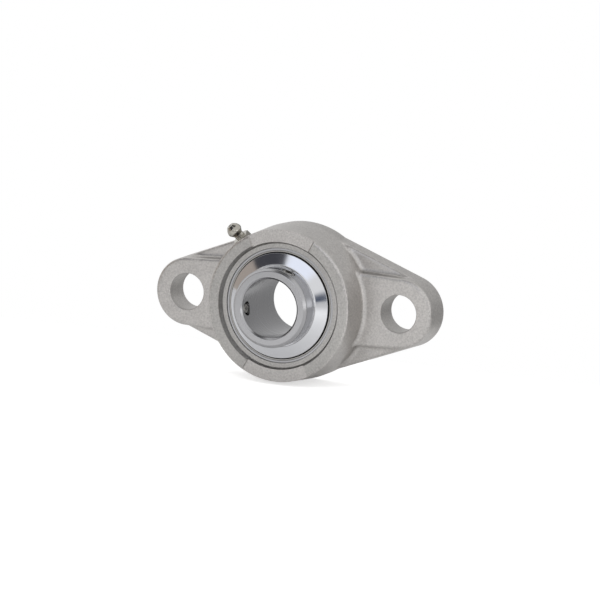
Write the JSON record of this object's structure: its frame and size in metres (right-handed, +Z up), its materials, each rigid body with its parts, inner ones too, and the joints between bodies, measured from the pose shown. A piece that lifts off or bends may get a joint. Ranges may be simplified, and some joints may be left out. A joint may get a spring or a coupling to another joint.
{
  "type": "two-bolt flange bearing",
  "caption": "Two-bolt flange bearing: cast rhombic housing with a self-aligning ball insert, set-screw inner ring, flinger seals and a grease nipple.",
  "frame": {"origin": "on the bore axis, in the plane of the flat mounting face, midway between the two bolt holes", "axes": "+X along the line of the two bolt holes, to the right seen from the front; +Y along the bore, out of the mounting face into the machine, so the front faces -Y; +Z up, as the picture shows the part"},
  "size_m": [0.13, 0.0358, 0.068],
  "materials": {
    "cast_stainless": "blasted investment casting",
    "ground_steel": "ground, fine satin",
    "polished_steel": "pressed and polished",
    "ball_steel": "lapped to a mirror",
    "sheet_steel": "rolled sheet, satin",
    "seal_rubber": "moulded, matt",
    "nipple_steel": "turned, bright",
    "screw_steel": "turned, satin",
    "spring_steel": "drawn wire"
  },
  "bodies": {
    "housing": {"housing": "cast_stainless", "grease_nipple_body": "nipple_steel", "grease_spring": "spring_steel"},
    "nipple_valve": {"grease_check_ball": "ball_steel"},
    "lock_pin": {"lock_pin": "screw_steel"},
    "outer_ring": {"outer_ring": "ground_steel", "seal_case_front": "sheet_steel", "seal_lip_front": "seal_rubber", "seal_case_back": "sheet_steel", "seal_lip_back": "seal_rubber"},
    "inner_ring": {"inner_ring": "ground_steel", "flinger_front": "polished_steel", "flinger_back": "polished_steel"},
    "cage": {"cage_front": "sheet_steel", "cage_back": "sheet_steel", "cage_rivets": "sheet_steel"},
    "set_screw_1": {"set_screw_1": "screw_steel"},
    "set_screw_2": {"set_screw_2": "screw_steel"},
    "ball_1": {"ball_1": "ball_steel"},
    "ball_2": {"ball_2": "ball_steel"},
    "ball_3": {"ball_3": "ball_steel"},
    "ball_4": {"ball_4": "ball_steel"},
    "ball_5": {"ball_5": "ball_steel"},
    "ball_6": {"ball_6": "ball_steel"},
    "ball_7": {"ball_7": "ball_steel"},
    "ball_8": {"ball_8": "ball_steel"},
    "ball_9": {"ball_9": "ball_steel"}
  },
  "joints": [
    {"name": "insert_tilt", "type": "hinge", "parent": "housing", "child": "lock_pin", "pos_m": [0, -0.016, 0], "axis": [1, 0, 0], "range_deg": [-2, 2]},
    {"name": "insert_turn", "type": "hinge", "parent": "lock_pin", "child": "outer_ring", "pos_m": [0, -0.016, 0], "axis": [0, 0, 1], "range_deg": [-2, 2]},
    {"name": "shaft_spin", "type": "hinge", "parent": "outer_ring", "child": "inner_ring", "pos_m": [0, -0.016, 0], "axis": [0, 1, 0], "continuous": true},
    {"name": "cage_spin", "type": "hinge", "parent": "outer_ring", "child": "cage", "pos_m": [0, -0.016, 0], "axis": [0, 1, 0], "continuous": true},
    {"name": "ball_1_roll", "type": "hinge", "parent": "cage", "child": "ball_1", "pos_m": [0, -0.016, 0.01949], "axis": [0, 1, 0], "continuous": true},
    {"name": "ball_2_roll", "type": "hinge", "parent": "cage", "child": "ball_2", "pos_m": [-0.01253, -0.016, 0.01493], "axis": [0, 1, 0], "continuous": true},
    {"name": "ball_3_roll", "type": "hinge", "parent": "cage", "child": "ball_3", "pos_m": [-0.01919, -0.016, 0.00338], "axis": [0, 1, 0], "continuous": true},
    {"name": "ball_4_roll", "type": "hinge", "parent": "cage", "child": "ball_4", "pos_m": [-0.01688, -0.016, -0.00975], "axis": [0, 1, 0], "continuous": true},
    {"name": "ball_5_roll", "type": "hinge", "parent": "cage", "child": "ball_5", "pos_m": [-0.00667, -0.016, -0.01832], "axis": [0, 1, 0], "continuous": true},
    {"name": "ball_6_roll", "type": "hinge", "parent": "cage", "child": "ball_6", "pos_m": [0.00667, -0.016, -0.01832], "axis": [0, 1, 0], "continuous": true},
    {"name": "ball_7_roll", "type": "hinge", "parent": "cage", "child": "ball_7", "pos_m": [0.01688, -0.016, -0.00975], "axis": [0, 1, 0], "continuous": true},
    {"name": "ball_8_roll", "type": "hinge", "parent": "cage", "child": "ball_8", "pos_m": [0.01919, -0.016, 0.00338], "axis": [0, 1, 0], "continuous": true},
    {"name": "ball_9_roll", "type": "hinge", "parent": "cage", "child": "ball_9", "pos_m": [0.01253, -0.016, 0.01493], "axis": [0, 1, 0], "continuous": true},
    {"name": "set_screw_1_drive", "type": "slide", "parent": "inner_ring", "child": "set_screw_1", "axis": [-0.3746, 0, -0.9272], "range_m": [-0.0015, 0.0003]},
    {"name": "set_screw_2_drive", "type": "slide", "parent": "inner_ring", "child": "set_screw_2", "axis": [0.9903, 0, 0.1392], "range_m": [-0.0015, 0.0003]},
    {"name": "nipple_valve_open", "type": "slide", "parent": "housing", "child": "nipple_valve", "axis": [0.5727, 0.454, -0.6826], "range_m": [0, 0.0006], "stiffness_N_per_m": 150, "springref_m": -0.003, "deforming": ["grease_spring"]}
  ],
  "couplings": [
    {"joint": "cage_spin", "follows": "shaft_spin", "ratio": 0.39815},
    {"joint": "ball_1_roll", "follows": "shaft_spin", "ratio": -2.3528},
    {"joint": "ball_2_roll", "follows": "shaft_spin", "ratio": -2.3528},
    {"joint": "ball_3_roll", "follows": "shaft_spin", "ratio": -2.3528},
    {"joint": "ball_4_roll", "follows": "shaft_spin", "ratio": -2.3528},
    {"joint": "ball_5_roll", "follows": "shaft_spin", "ratio": -2.3528},
    {"joint": "ball_6_roll", "follows": "shaft_spin", "ratio": -2.3528},
    {"joint": "ball_7_roll", "follows": "shaft_spin", "ratio": -2.3528},
    {"joint": "ball_8_roll", "follows": "shaft_spin", "ratio": -2.3528},
    {"joint": "ball_9_roll", "follows": "shaft_spin", "ratio": -2.3528}
  ]
}
